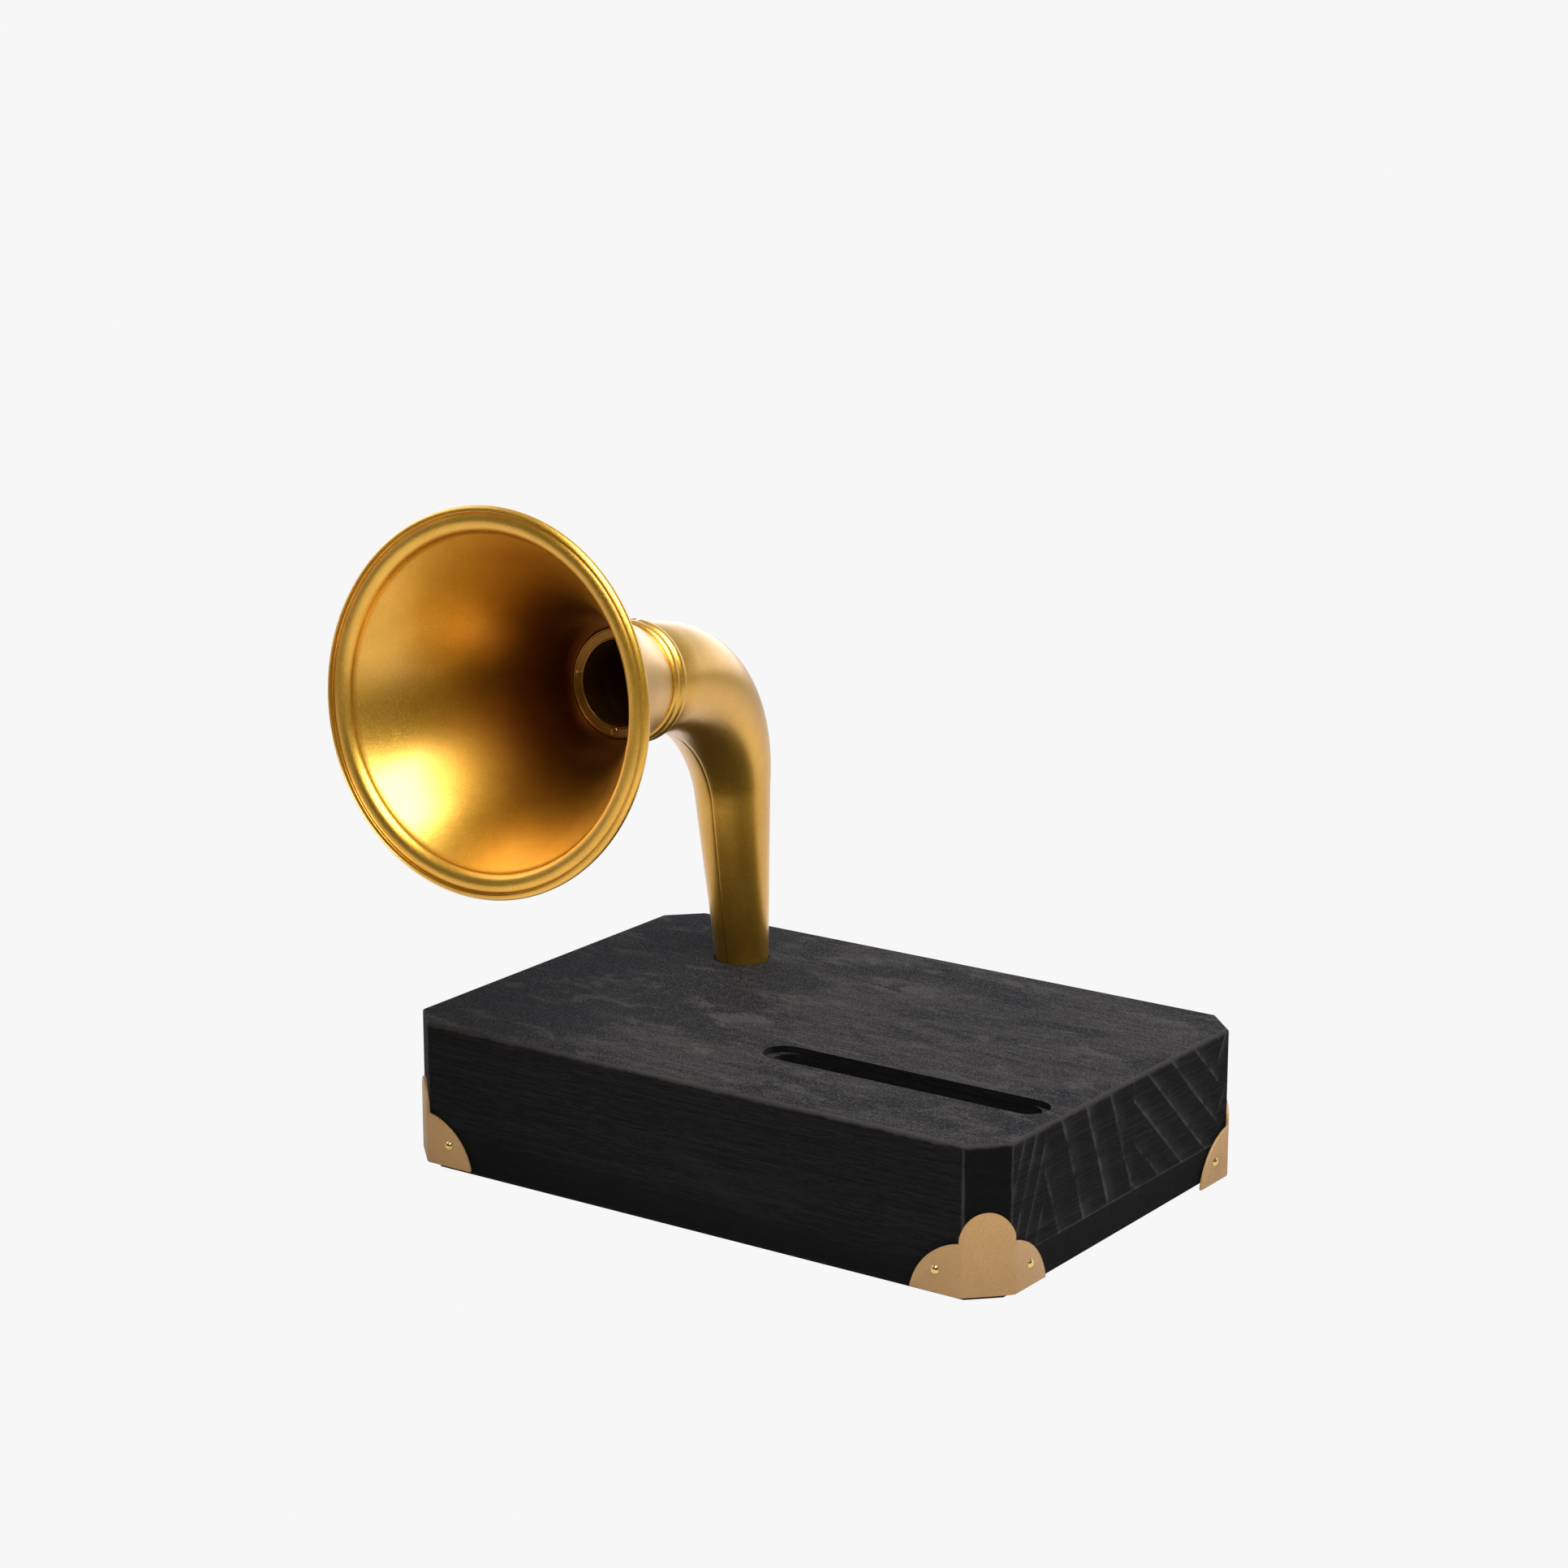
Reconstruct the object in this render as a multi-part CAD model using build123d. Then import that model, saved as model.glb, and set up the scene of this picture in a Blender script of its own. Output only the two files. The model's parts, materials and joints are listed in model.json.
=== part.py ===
"""Passive phone amplifier: a gramophone-style horn standing in a wooden block.

Frame: origin at the centre of the felt sheet's underside, which the block stands on.
+X runs along the block's long side, +Y points away from the front and +Z is up.
"""
from build123d import *
import math
import os

os.makedirs("parts", exist_ok=True)

# ---- block -----------------------------------------------------------------
block_length = 190.0
block_width = 128.5
top_block_height = 31.0
base_board_height = 9.0
corner_cut = 9.0  # leg of the 45 degree cut at each vertical corner
edge_round = 0.9  # sanded top edges
felt_thickness = 2.0
felt_inset = 3.0  # felt stops this far inside the board's edge

# ---- phone slot --------------------------------------------------------------
slot_length = 87.2
slot_width = 11.4
slot_centre_x = 46.0
slot_front_margin = 34.3  # slot centre line to the block's front face
slot_depth = 16.0
relief_depth = 1.8  # shallow step at the slot's top
relief_end = 2.6  # how far the shallow step runs past the deep slot at each end

# ---- sound channel in the top block's underside ------------------------------
port_length = 34.0
port_width = 7.0
channel_width = 12.0
channel_depth = 9.0

# ---- horn socket ---------------------------------------------------------------
socket_x = -51.0
socket_back_margin = 30.5  # socket centre to the block's back face
stem_radius = 7.4
stem_running_gap = 0.08  # radial clearance of the stem in its socket
socket_depth = 14.0
spigot_end_gap = 0.1  # between the spigot's foot and the socket's ledge
stem_wall = 2.0
socket_chamfer = 0.7

# ---- elbow -----------------------------------------------------------------------
horn_turn = 2.5  # degrees the horn stands turned to the right of straight ahead
stem_lean = 5.5  # degrees from vertical, towards the bell
axis_rise = 6.03  # degrees that the bell's axis rises
stem_straight = 52.0  # slanted straight part above the block
bend_radius = 43.0
reach_straight = 7.9  # straight part from the bend to the shoulder behind the bell
bend_start_radius = 10.7  # outer radius where the bend starts
bend_end_taper = 0.2  # how much thinner the elbow is where the bend ends than at the shoulder
elbow_wall = 2.0
stem_steps = 6  # sections drawn along the straight part
bend_steps = 7  # and round the bend

# ---- seat that the bell turns on, and the throat ring that keeps it there -----------
seat_length = 7.2
seat_radius = 14.0
seat_wall = 1.2
bell_running_gap = 0.08  # radial clearance of the bell's neck on the seat
bell_end_gap = 0.3  # between the neck's end and the shoulder
ring_flange = 1.6  # throat ring's flange, in front of the seat
ring_overhang = 0.9  # how far the flange stands out from the seat, to hold the bell
ring_sleeve_wall = 1.0
ring_sleeve_length = 5.0  # sleeve of the throat ring, inside the seat
ring_fit_gap = 0.02
ring_pocket_gap = 0.15  # around the flange in the bell's throat
ring_end_play = 0.1  # between the flange's back and the bell's ledge

# ---- collar ring, clipped round the end of the bell's neck ---------------------------
collar_width = 6.0
collar_thickness = 1.2  # to the top of its beads
collar_groove = 0.7  # depth of the groove between its two beads
collar_fit_gap = 0.02
neck_end_wall = 1.02  # wall of the bell's neck inside the collar
collar_split = 1.0  # width of its split, at the top

# ---- bell -------------------------------------------------------------------------
mouth_radius = 50.6
rim_width = 6.8  # radial width of the rolled rim
rim_bead_radius = 2.1  # outer bead
inner_bead_radius = 1.5
bell_length = 70.1  # rim's front to the neck's end
neck_step = 0.8  # how much thicker the neck is in front of the collar ring
bell_wall = 1.5
flare_bow = 7.0  # how far the flare bows inwards from a straight cone

# ---- corner guards -----------------------------------------------------------------
guard_sheet = 0.7
guard_ease = 0.77  # how much wider the guard is between its bends than the cut corner
guard_wing = 14.5  # wing along each side face, from the bend
guard_top = 22.0  # top of the round centre lobe
guard_lobe_overhang = 0.3  # how far the lobe's round runs past the bends
guard_shoulder = 13.7  # wing height at the bend
guard_stand_off = 0.05  # guard's middle to the cut corner
guard_bend_radius = 1.5
nail_from_bend = 7.2
nail_height = 6.0
nail_head_radius = 1.25
nail_head_height = 0.75
nail_shank_radius = 0.5
nail_shank_length = 7.0
nail_fit_gap = 0.02
# each corner: quarter turns from the front right corner, and how far above the wood's
# underside the guard's lower edge was nailed on by hand
corners = {
    "front_right": (0, 0.0),
    "back_right": (1, -1.6),
    "back_left": (2, 0.2),
    "front_left": (3, 0.3),
}

# ---- worked out -------------------------------------------------------------------
wood_bottom = felt_thickness
board_top = wood_bottom + base_board_height
wood_top = board_top + top_block_height
slot_y = -block_width / 2 + slot_front_margin
slot_floor = wood_top - slot_depth
socket_y = block_width / 2 - socket_back_margin
channel_top = board_top + channel_depth
socket_floor = wood_top - socket_depth
socket_radius = stem_radius + stem_running_gap
stem_bore = stem_radius - stem_wall
spigot_length = socket_depth - spigot_end_gap
seat_bore = seat_radius - seat_wall
ring_radius = seat_radius + ring_overhang
ring_bore_radius = seat_bore - ring_sleeve_wall
neck_bore = seat_radius + bell_running_gap
collar_inner_radius = neck_bore + neck_end_wall
collar_radius = collar_inner_radius + collar_thickness
neck_radius = collar_inner_radius + neck_step
shoulder_radius = collar_inner_radius + collar_thickness - collar_groove
bend_end_radius = shoulder_radius - bend_end_taper
cut_length = corner_cut * math.sqrt(2)
guard_face_width = cut_length + guard_ease  # inside, between the two bends
guard_lobe_radius = guard_face_width / 2 + guard_lobe_overhang


def octagon_plan(inset=0.0):
    """The block's plan: a rectangle with its four corners cut at 45 degrees."""
    half_x = block_length / 2 - inset
    half_y = block_width / 2 - inset
    cut = corner_cut - inset * (2 - math.sqrt(2))
    points = [
        (half_x - cut, -half_y), (half_x, -half_y + cut),
        (half_x, half_y - cut), (half_x - cut, half_y),
        (-half_x + cut, half_y), (-half_x, half_y - cut),
        (-half_x, -half_y + cut), (-half_x + cut, -half_y),
    ]
    return make_face(Polyline(*points, close=True))


def slab(face, low, high):
    """A plan face raised from one height to another."""
    return extrude(Pos(0, 0, low) * face, high - low)


def rounded_slot(length, width, x, y, low, high):
    """A vertical pocket with round ends, along X."""
    return slab(Pos(x, y) * SlotOverall(length, width), low, high)


def top_block():
    body = slab(octagon_plan(), board_top, wood_top)
    body = fillet(body.faces().sort_by(Axis.Z)[-1].edges(), edge_round)
    body -= rounded_slot(slot_length, slot_width, slot_centre_x, slot_y,
                         wood_top - relief_depth, wood_top + 1)
    body -= rounded_slot(slot_length - 2 * relief_end, slot_width, slot_centre_x, slot_y,
                         slot_floor, wood_top)
    body -= rounded_slot(port_length, port_width, slot_centre_x, slot_y, board_top, wood_top - 1)
    body -= channel()
    body -= socket()
    return body


def channel():
    """L-shaped sound channel, milled from below: along the slot, then back to the socket."""
    depth = channel_top - board_top + 1
    along_left = socket_x - channel_width / 2
    along_right = slot_centre_x + port_length / 2
    along = Pos((along_left + along_right) / 2, slot_y, board_top - 1 + depth / 2) * Box(
        along_right - along_left, channel_width, depth)
    back_end = socket_y + channel_width / 2
    back = Pos(socket_x, (slot_y + back_end) / 2, board_top - 1 + depth / 2) * Box(
        channel_width, back_end - slot_y, depth)
    return along + back


def socket():
    """Stepped hole for the stem: a bore down to a ledge, and the sound hole below it."""
    bore = slab(Pos(socket_x, socket_y) * Circle(socket_radius), socket_floor, wood_top + 1)
    sound_hole = slab(Pos(socket_x, socket_y) * Circle(stem_bore), board_top, socket_floor + 1)
    mouth = Pos(socket_x, socket_y, wood_top - socket_chamfer / 2) * Cone(
        socket_radius, socket_radius + socket_chamfer, socket_chamfer)
    return bore + sound_hole + mouth


def felt():
    return slab(octagon_plan(felt_inset), 0, felt_thickness)


# ---- horn: drawn with its middle plane on XZ, bell towards +X, stem foot at 0,0,0 ----
horn_place = Pos(socket_x, socket_y, wood_top) * Rot(0, 0, -90 + horn_turn)
lean = math.radians(stem_lean)
rise = math.radians(axis_rise)
bend_angle = math.pi / 2 - lean - rise
stem_direction = Vector(math.sin(lean), 0, math.cos(lean))
bend_start = stem_straight * stem_direction
bend_centre = bend_start + bend_radius * Vector(math.cos(lean), 0, -math.sin(lean))


def along_bend(turned_by):
    """Point and direction of the elbow's centre line after a part of the bend's turn."""
    slope = lean + turned_by
    point = bend_centre + bend_radius * Vector(-math.cos(slope), 0, math.sin(slope))
    return point, Vector(math.sin(slope), 0, math.cos(slope))


bend_end, bell_axis = along_bend(bend_angle)
shoulder = bend_end + reach_straight * bell_axis
neck_end = shoulder + bell_end_gap * bell_axis
radial = Vector(-math.sin(rise), 0, math.cos(rise))  # square to the bell's axis, upwards


def section(point, direction, radius):
    """A round section of the elbow, square to its centre line."""
    return Plane(origin=point, x_dir=(0, 1, 0), z_dir=direction) * Circle(radius)


def elbow_sections(wall, foot_radius, end_radius):
    """Sections of the elbow's outside, or of its bore, from the block's top to the shoulder."""
    sections = [section(Vector(0, 0, 0), Vector(0, 0, 1), foot_radius)]
    for step in range(1, stem_steps + 1):
        share = step / stem_steps
        radius = stem_radius + share * (bend_start_radius - stem_radius) - wall
        sections.append(section(bend_start * share, stem_direction, radius))
    for step in range(1, bend_steps + 1):
        share = step / bend_steps
        swell = math.sin(share * math.pi / 2)
        radius = bend_start_radius + swell * (bend_end_radius - bend_start_radius) - wall
        point, direction = along_bend(bend_angle * share)
        sections.append(section(point, direction, radius))
    sections.append(section(shoulder, bell_axis, end_radius))
    return sections


def rod(start, length, radius):
    """A straight round rod along the bell's axis, from a point towards the mouth."""
    return extrude(section(start, bell_axis, radius), length)


def tube(start, length, outer, inner):
    """The same as a tube."""
    return rod(start, length, outer) - rod(start, length, inner)


def elbow():
    """The whole elbow: spigot in the block, tapering bend, and the seat for the bell."""
    outside = loft(elbow_sections(0, stem_radius, shoulder_radius))
    outside += slab(Circle(stem_radius), -spigot_length, 0)
    outside += rod(shoulder, seat_length, seat_radius)
    bore = loft(elbow_sections(elbow_wall, stem_bore, seat_bore))
    bore += slab(Circle(stem_bore), -spigot_length, 0)
    bore += rod(shoulder, seat_length, seat_bore)
    return outside - bore


def elbow_half(whole, side):
    """One moulded half shell, to the left (+1) or right (-1) of the elbow's middle plane."""
    reach = 4 * (stem_straight + bend_radius)
    half_space = Pos(0, side * reach / 2, 0) * Box(2 * reach, reach, 2 * reach)
    return whole & half_space


def turned(profile, start):
    """A profile (x out from the bell's axis, y towards the mouth) turned about that axis."""
    plane = Plane(origin=start, x_dir=radial, z_dir=radial.cross(bell_axis))
    return revolve(plane * profile, Axis(start, bell_axis), 360)


def collar_ring():
    """Clip ring round the neck's end: two beads with a groove between, split at the top."""
    bead = collar_width / 2
    inner = collar_inner_radius + collar_fit_gap
    groove = collar_radius - collar_groove
    outline = Line((inner, 0), (groove, 0))
    outline += ThreePointArc((groove, 0), (collar_radius, bead / 2), (groove, bead))
    outline += ThreePointArc((groove, bead), (collar_radius, 1.5 * bead), (groove, 2 * bead))
    outline += Polyline((groove, 2 * bead), (inner, 2 * bead), (inner, 0))
    ring = turned(make_face(outline), neck_end)
    split_plane = Plane(origin=neck_end, x_dir=radial, z_dir=bell_axis)
    split = Pos(collar_radius, 0, collar_width / 2) * Box(2 * bead, collar_split, 2 * collar_width)
    return ring - split_plane * split


def throat_ring():
    """Ring that keeps the bell on its seat: flange in the throat, sleeve inside the seat."""
    flange_start = shoulder + seat_length * bell_axis
    flange = tube(flange_start, ring_flange, ring_radius, ring_bore_radius)
    sleeve_start = flange_start - ring_sleeve_length * bell_axis
    sleeve_radius = seat_bore - ring_fit_gap
    return flange + tube(sleeve_start, ring_sleeve_length, sleeve_radius, ring_bore_radius)


def bell():
    """The bell, one moulding: neck turning on the seat, bowed flare and rolled rim."""
    ledge = seat_length - bell_end_gap - ring_end_play
    throat_radius = ring_radius + ring_pocket_gap
    throat = seat_length - bell_end_gap + ring_flange
    rim_foot = bell_length - 2 * rim_bead_radius
    edge_radius = mouth_radius - rim_width
    rise_of_flare = rim_foot - throat
    spread = edge_radius - throat_radius
    slant = math.hypot(rise_of_flare, spread)
    wall_out = bell_wall * rise_of_flare / slant
    wall_back = bell_wall * spread / slant
    bow = (throat_radius + spread / 2 - flare_bow, throat + rise_of_flare / 2)
    outer_bow = (bow[0] + wall_out, bow[1] - wall_back)
    outer_end = (edge_radius + wall_out + inner_bead_radius, rim_foot)
    outline = Polyline((neck_bore, 0), (collar_inner_radius, 0), (collar_inner_radius, collar_width),
                       (neck_radius, collar_width))
    outline += Bezier((neck_radius, collar_width), outer_bow, outer_end)
    outline += Polyline(outer_end, (outer_end[0], bell_length - rim_bead_radius),
                        (edge_radius, bell_length - inner_bead_radius), (edge_radius, rim_foot))
    outline += Bezier((edge_radius, rim_foot), bow, (throat_radius, throat))
    outline += Polyline((throat_radius, throat), (throat_radius, ledge), (neck_bore, ledge),
                        (neck_bore, 0))
    return turned(make_face(outline), neck_end) + rim()


def rim():
    """Rolled rim: an outer bead and a smaller inner bead, with a shallow valley between."""
    outer_middle = mouth_radius - rim_bead_radius
    inner_middle = mouth_radius - rim_width + inner_bead_radius
    outer_bead = Pos(outer_middle, bell_length - rim_bead_radius) * Circle(rim_bead_radius)
    inner_bead = Pos(inner_middle, bell_length - inner_bead_radius) * Circle(inner_bead_radius)
    web = Pos((outer_middle + inner_middle) / 2, bell_length - rim_bead_radius) * Rectangle(
        outer_middle - inner_middle, inner_bead_radius)
    return turned(outer_bead + inner_bead + web, neck_end)


# ---- corner guards: drawn with the block's uncut front right corner at 0,0 -----------
tab_out = Vector(1, -1, 0).normalized()
tab_along = Vector(1, 1, 0).normalized()
tab_middle = Vector(-corner_cut / 2, corner_cut / 2, 0) + guard_stand_off * tab_out
front_bend = tab_middle - guard_face_width / 2 * tab_along
side_bend = tab_middle + guard_face_width / 2 * tab_along


def guard_strip():
    """The bent sheet in plan, raised to the lobe's height: wing, middle, wing."""
    front_out = Vector(0, -1, 0)
    side_out = Vector(1, 0, 0)
    miter = guard_sheet / (1 + front_out.dot(tab_out))
    front_tip = front_bend - Vector(guard_wing, 0, 0)
    side_tip = side_bend + Vector(0, guard_wing, 0)
    front_outer_bend = front_bend + miter * (front_out + tab_out)
    side_outer_bend = side_bend + miter * (side_out + tab_out)
    plan = make_face(Polyline(
        front_tip, front_bend, side_bend, side_tip, side_tip + guard_sheet * side_out,
        side_outer_bend, front_outer_bend, front_tip + guard_sheet * front_out, close=True))
    inner = [plan.vertices().sort_by_distance(bend)[0] for bend in (front_bend, side_bend)]
    plan = fillet(inner, guard_bend_radius)
    outer_bends = (front_outer_bend, side_outer_bend)
    outer = [plan.vertices().sort_by_distance(bend)[0] for bend in outer_bends]
    plan = fillet(outer, guard_bend_radius + guard_sheet)
    return extrude(plan, guard_top)


def guard_outline():
    """Solid that cuts the trefoil outline: a round lobe and two quarter ellipses."""
    depth = 3 * corner_cut
    lobe_base = guard_top - guard_lobe_radius
    lobe = Pos(0, lobe_base / 2) * Rectangle(2 * guard_lobe_radius, lobe_base)
    lobe += Pos(0, lobe_base) * Circle(guard_lobe_radius)
    above = Pos(0, guard_top) * Rectangle(4 * guard_wing, 2 * guard_top)
    wing = Ellipse(guard_wing, guard_shoulder) & above
    lobe_plane = Plane(origin=tab_middle, x_dir=tab_along, z_dir=tab_out)
    front_plane = Plane(origin=front_bend, x_dir=(1, 0, 0), z_dir=(0, -1, 0))
    side_plane = Plane(origin=side_bend, x_dir=(0, 1, 0), z_dir=(1, 0, 0))
    outline = extrude(lobe_plane * lobe, depth / 2, both=True)
    front_wing = wing & (Pos(-guard_wing, guard_top) * Rectangle(2 * guard_wing, 2 * guard_top))
    side_wing = wing & (Pos(guard_wing, guard_top) * Rectangle(2 * guard_wing, 2 * guard_top))
    outline += extrude(front_plane * front_wing, depth / 4, both=True)
    outline += extrude(side_plane * side_wing, depth / 4, both=True)
    return outline


def nail_places():
    """Where the two nails go: origin on the guard's outer face, Z out of the block."""
    front = front_bend + Vector(-nail_from_bend, -guard_sheet, nail_height)
    side = side_bend + Vector(guard_sheet, nail_from_bend, nail_height)
    return {
        "front": Plane(origin=front, x_dir=(1, 0, 0), z_dir=(0, -1, 0)),
        "side": Plane(origin=side, x_dir=(0, 1, 0), z_dir=(1, 0, 0)),
    }


def nail_hole(place):
    radius = nail_shank_radius + nail_fit_gap
    length = nail_shank_length + nail_fit_gap
    return place * (Pos(0, 0, -length / 2 + 0.5) * Cylinder(radius, length + 1))


def nail(place):
    """Domed nail: its head lies on the guard and its shank is in the wood."""
    dome_radius = (nail_head_radius ** 2 + nail_head_height ** 2) / (2 * nail_head_height)
    dome = Pos(0, 0, nail_head_height - dome_radius) * Sphere(dome_radius)
    head = dome & (Pos(0, 0, nail_head_height) * Box(
        4 * nail_head_radius, 4 * nail_head_radius, 2 * nail_head_height))
    shank = Pos(0, 0, -nail_shank_length / 2) * Cylinder(nail_shank_radius, nail_shank_length)
    return place * (head + shank)


def corner_place(quarter_turns, lift):
    """Where the front right corner's drawing goes for each corner of the block."""
    side_x = 1 if quarter_turns in (0, 1) else -1
    side_y = 1 if quarter_turns in (1, 2) else -1
    height = wood_bottom + lift
    corner = Pos(side_x * block_length / 2, side_y * block_width / 2, height)
    return corner * Rot(0, 0, 90 * quarter_turns)


def write(name, shape):
    """One STEP file for one sub-part."""
    solids = shape.solids()
    if len(solids) != 1:
        raise ValueError(f"{name} has {len(solids)} solids")
    export_step(solids[0], f"parts/{name}.step")


guard = guard_strip() & guard_outline()
board = slab(octagon_plan(), wood_bottom, board_top)
for nail_place in nail_places().values():
    guard -= nail_hole(nail_place)
for corner, (quarter_turns, lift) in corners.items():
    place = corner_place(quarter_turns, lift)
    write(f"corner_guard_{corner}", place * guard)
    for wing, nail_place in nail_places().items():
        write(f"nail_{corner}_{wing}", place * nail(nail_place))
        board -= place * nail_hole(nail_place)

write("felt_base", felt())
write("base_board", board)
write("top_block", top_block())
whole_elbow = elbow()
write("elbow_left_shell", horn_place * elbow_half(whole_elbow, 1))
write("elbow_right_shell", horn_place * elbow_half(whole_elbow, -1))
write("throat_ring", horn_place * throat_ring())
write("collar_ring", horn_place * collar_ring())
write("bell", horn_place * bell())
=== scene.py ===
"""Looks of a passive phone amplifier: a gold gramophone horn standing in a black stained block."""
import json
import math

import bmesh
import bpy
from bpy.props import FloatProperty, FloatVectorProperty, PointerProperty
from mathutils import Matrix, Vector, noise


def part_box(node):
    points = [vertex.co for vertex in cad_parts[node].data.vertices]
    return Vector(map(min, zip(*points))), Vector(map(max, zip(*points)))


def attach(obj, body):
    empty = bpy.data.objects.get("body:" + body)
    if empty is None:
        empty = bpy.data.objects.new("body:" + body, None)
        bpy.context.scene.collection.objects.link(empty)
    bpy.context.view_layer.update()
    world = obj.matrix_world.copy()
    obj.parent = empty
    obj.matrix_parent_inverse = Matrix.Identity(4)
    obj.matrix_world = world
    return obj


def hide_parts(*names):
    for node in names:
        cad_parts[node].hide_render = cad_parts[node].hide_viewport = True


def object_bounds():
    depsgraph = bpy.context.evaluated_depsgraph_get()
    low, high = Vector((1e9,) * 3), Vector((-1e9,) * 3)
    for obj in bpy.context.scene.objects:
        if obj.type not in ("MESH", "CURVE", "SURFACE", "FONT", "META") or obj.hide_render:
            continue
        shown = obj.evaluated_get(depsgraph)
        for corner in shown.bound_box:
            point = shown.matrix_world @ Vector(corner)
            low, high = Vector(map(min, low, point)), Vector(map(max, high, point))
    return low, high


bl_info = {
    "name": "Horn phone amplifier",
    "version": (1, 0, 0),
    "blender": (4, 5, 0),
    "location": "View3D > Sidebar > Horn amplifier",
    "description": "Builds a gramophone horn in a stained block with sheet corner guards",
    "category": "Object",
}

MM = 0.001
CORNER_CUT = 9.0  # leg of the block's cut corners, in mm
# growth rings on the block's ends, one row for each stave, in mm:
# from Y, to Y, slant of the lines, place of a line, distance between lines
STAVES = (
    (-70, -40, -0.40, -36.3, 5.8),
    (-40, 4.5, 0.40, -15.1, 12.2),
    (4.5, 50, 1.08, 31.2, 12.6),
    (50, 70, -0.55, 40.0, 8.5),
)
# soft lamps, aimed at the object's middle: place, width, watts, tint
LAMPS = {
    "softbox_high_right": ((0.42, -0.20, 1.05), 0.80, 24, (0.96, 0.99, 1.08)),
    "softbox_high_front": ((0.24, -0.70, 0.86), 0.46, 4.3, (1, 1, 1)),
    "softbox_left": ((-0.75, -0.12, 0.70), 0.6, 2, (1, 1, 1)),
}
BRIGHT_SIDE = (-0.572, 0.820, 0.0)  # where the surroundings are brightest
# how bright they are, from the side facing away (0) to the bright side (1)
SURROUNDINGS = ((0.0, 0.015), (0.25, 0.035), (0.5, 0.17), (0.67, 0.42), (0.8, 0.72), (1.0, 1.0))
# and their tint
TINTS = ((0.35, (1.0, 0.92, 0.80, 1)), (0.8, (0.95, 1.0, 1.14, 1)))
PALE = 0.93  # floor and surroundings as the camera sees them
CAMERA = Vector((0.5748, -0.8423, 0.3707))  # from the wood's underside

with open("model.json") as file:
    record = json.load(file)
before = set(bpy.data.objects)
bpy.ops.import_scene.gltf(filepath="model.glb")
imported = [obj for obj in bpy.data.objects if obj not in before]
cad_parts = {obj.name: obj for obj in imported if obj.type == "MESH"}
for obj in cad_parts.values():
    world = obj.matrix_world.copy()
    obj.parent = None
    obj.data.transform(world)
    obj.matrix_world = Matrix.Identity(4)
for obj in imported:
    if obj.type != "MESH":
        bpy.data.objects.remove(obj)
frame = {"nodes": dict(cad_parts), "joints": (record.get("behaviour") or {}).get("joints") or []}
cad_low, cad_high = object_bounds()
joints = {joint["name"]: joint for joint in frame["joints"]}
stem_foot = Vector(joints["horn_swivel"]["pos_m"])
shoulder = Vector(joints["bell_turn"]["pos_m"])
bell_axis = Vector(joints["bell_turn"]["axis"]).normalized()
block_low, block_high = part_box("top_block")
board_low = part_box("base_board")[0]


# ---- sizes and finishes ------------------------------------------------------------

def size(name, words, default):
    """A length in metres."""
    return FloatProperty(name=name, description=words, default=default, min=0, unit="LENGTH",
                         subtype="DISTANCE", precision=5)


def angle(name, words, degrees):
    return FloatProperty(name=name, description=words, default=math.radians(degrees),
                         unit="ROTATION", subtype="ANGLE")


def colour(name, words, default):
    return FloatVectorProperty(name=name, description=words, default=default, size=3, min=0,
                               max=1, subtype="COLOR")


class AmpElbowSizes(bpy.types.PropertyGroup):
    """Sizes of the elbow's two half shells."""
    lean: angle("Stem lean", "Lean of the stem from vertical, towards the bell", 5.5)
    bend: size("Bend radius", "Radius of the centre line's bend", 43.0 * MM)
    stem: size("Stem radius", "Outer radius at the block", 7.4 * MM)
    bend_start: size("Radius before the bend", "Outer radius where the bend starts", 10.7 * MM)
    bend_end: size("Radius after the bend", "Outer radius where the bend ends", 15.4 * MM)
    shoulder: size("Shoulder radius", "Outer radius behind the bell", 15.6 * MM)
    wall: size("Wall", "Wall of each half shell", 2.0 * MM)
    seat: size("Seat radius", "Radius of the tube that the bell turns on", 14.0 * MM)
    seat_wall: size("Seat wall", "Wall of that tube", 1.2 * MM)
    seam: size("Seam bevel", "Bevel of each shell along the seam", 0.22 * MM)
    step: size("Seam step", "How far the left shell stands proud of the right one", 0.12 * MM)
    gap: size("Seam gap", "Open gap between the two shells", 0.16 * MM)


class AmpBellSizes(bpy.types.PropertyGroup):
    """Sizes of the bell, measured from the shoulder behind it."""
    mouth: size("Mouth radius", "Outer radius of the rim", 50.6 * MM)
    length: size("Length", "Shoulder to the rim's front", 70.4 * MM)
    rim_width: size("Rim width", "Radial width of the rolled rim", 6.8 * MM)
    outer_bead: size("Outer bead", "Radius of the rim's outer bead", 1.35 * MM)
    inner_bead: size("Inner bead", "Radius of the rim's inner bead", 3.0 * MM)
    valley: size("Valley", "Depth of the valley's control point", 1.3 * MM)
    wall: size("Wall", "Wall of the flare", 1.5 * MM)
    bow: size("Flare bow", "How far the flare bows inwards from a cone", 7.0 * MM)
    neck: size("Neck radius", "Outer radius in front of the collar", 15.9 * MM)
    throat: size("Throat radius", "Radius round the throat ring", 15.05 * MM)
    bore: size("Neck bore", "Radius of the neck's bore", 14.08 * MM)


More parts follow.
